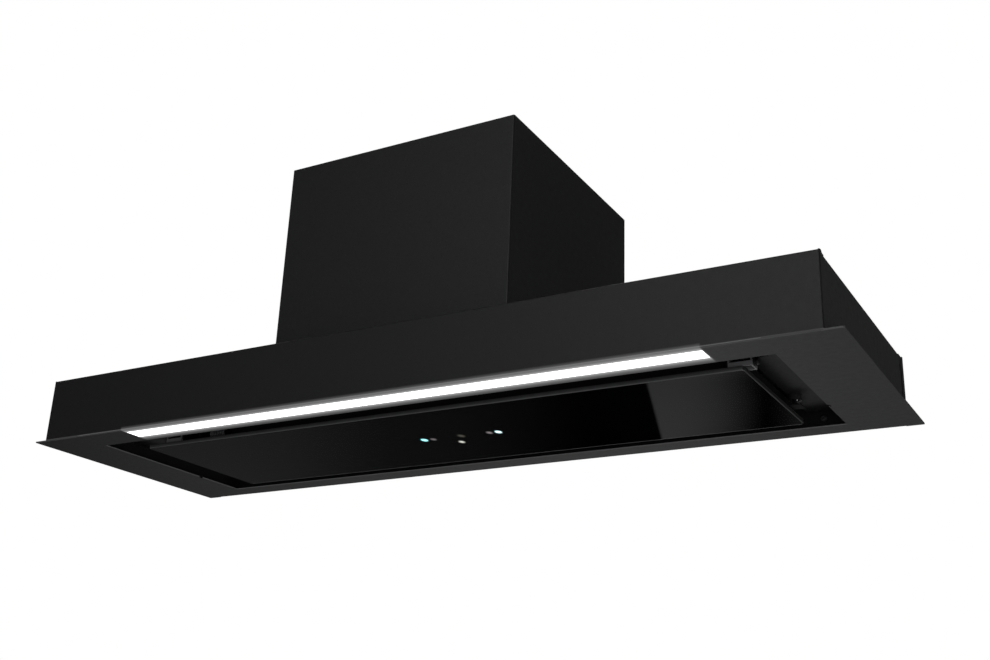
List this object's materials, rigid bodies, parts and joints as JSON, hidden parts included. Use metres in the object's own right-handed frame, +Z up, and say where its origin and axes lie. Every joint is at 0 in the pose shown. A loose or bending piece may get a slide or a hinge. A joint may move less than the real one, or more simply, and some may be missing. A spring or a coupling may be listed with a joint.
{
  "type": "built-in range hood",
  "caption": "Black built-in canopy range hood with a motor tower, a hinged glass perimeter-suction panel, a light strip, grease filters, a blower and a duct collar with damper flaps.",
  "frame": {"origin": "centre of the trim flange's underside", "axes": "+Z up through the duct collar, -Y towards the cook and the light strip, +X to the right as the cook faces the hood"},
  "size_m": [0.86, 0.276, 0.2995],
  "materials": {
    "black_powder_coat": "fine matt powder coat",
    "black_liner": "semi-matt black",
    "black_glass": "polished, back-painted black",
    "adhesive_tape": "matt",
    "bright_steel": "zinc plated",
    "spring_steel": "satin",
    "filter_aluminium": "mill finish",
    "led_aluminium": "satin",
    "led_board": "white solder mask",
    "led_chip": "phosphor",
    "led_opal": "opal, lit",
    "circuit_board": "solder mask",
    "black_plastic": "satin moulded",
    "blower_plastic": "moulded, fine grain",
    "galvanised_steel": "zinc spangle",
    "capacitor_can": "satin",
    "rubber_bush": "matt"
  },
  "bodies": {
    "hood": {"cable_gland": "black_plastic", "canopy_shell": "black_powder_coat", "capacitor": "capacitor_can", "capacitor_clip": "galvanised_steel", "catch_bracket_left": "black_liner", "catch_bracket_right": "black_liner", "catch_sockets": "black_plastic", "control_board": "circuit_board", "control_box": "black_plastic", "control_lid": "black_plastic", "damper_pins": "bright_steel", "duct_collar": "black_plastic", "duct_screws": "bright_steel", "filter_rail_front": "black_liner", "filter_rail_rear": "black_liner", "filter_spring_left": "spring_steel", "filter_spring_right": "spring_steel", "hinge_bracket_left": "black_liner", "hinge_bracket_right": "black_liner", "hinge_pins": "bright_steel", "hinge_spring": "spring_steel", "inlet_ring_left": "blower_plastic", "inlet_ring_right": "blower_plastic", "inner_liner": "black_liner", "led_board": "led_board", "led_channel": "led_aluminium", "led_chips": "led_chip", "led_diffuser": "led_opal", "led_driver": "black_plastic", "motor_bearing": "bright_steel", "motor_bushes": "rubber_bush", "motor_housing": "galvanised_steel", "motor_spider": "galvanised_steel", "scroll_case_left": "blower_plastic", "scroll_case_right": "blower_plastic", "side_panel_left": "black_powder_coat", "side_panel_right": "black_powder_coat", "terminal_box": "black_plastic", "top_cover": "black_powder_coat", "tower_back": "black_powder_coat", "tower_top": "black_powder_coat", "tower_wrap": "black_powder_coat"},
    "glass_door": {"glass_panel": "black_glass", "glass_tape": "adhesive_tape", "panel_tray": "black_liner", "panel_back": "black_liner", "touch_board": "circuit_board", "touch_housing": "black_plastic", "hinge_leaf_left": "bright_steel", "hinge_leaf_right": "bright_steel", "catch_studs": "bright_steel"},
    "blower": {"blower_wheel": "blower_plastic", "motor_shaft": "bright_steel", "shaft_nut": "bright_steel"},
    "flap_front": {"damper_flap_front": "black_plastic"},
    "flap_rear": {"damper_flap_rear": "black_plastic"},
    "filter_left": {"filter_frame_left": "filter_aluminium", "filter_mesh_left": "filter_aluminium"},
    "filter_right": {"filter_frame_right": "filter_aluminium", "filter_mesh_right": "filter_aluminium"}
  },
  "joints": [
    {"name": "glass_door_hinge", "type": "hinge", "parent": "hood", "child": "glass_door", "pos_m": [0, -0.066, 0.009], "axis": [-1, 0, 0], "range_deg": [0, 90], "deforming": ["hinge_spring"]},
    {"name": "blower_spin", "type": "hinge", "parent": "hood", "child": "blower", "pos_m": [0, 0.018, 0.16], "axis": [1, 0, 0], "continuous": true},
    {"name": "flap_front_hinge", "type": "hinge", "parent": "hood", "child": "flap_front", "pos_m": [0, 0.039, 0.2748], "axis": [-1, 0, 0], "range_deg": [0, 80]},
    {"name": "flap_rear_hinge", "type": "hinge", "parent": "hood", "child": "flap_rear", "pos_m": [0, 0.051, 0.2748], "axis": [1, 0, 0], "range_deg": [0, 80]},
    {"name": "filter_left_push", "type": "slide", "parent": "hood", "child": "filter_left", "axis": [0, 1, 0], "range_m": [0, 0.006], "stiffness_N_per_m": 400, "springref_m": -0.004, "deforming": ["filter_spring_left"]},
    {"name": "filter_right_push", "type": "slide", "parent": "hood", "child": "filter_right", "axis": [0, 1, 0], "range_m": [0, 0.006], "stiffness_N_per_m": 400, "springref_m": -0.004, "deforming": ["filter_spring_right"]}
  ]
}
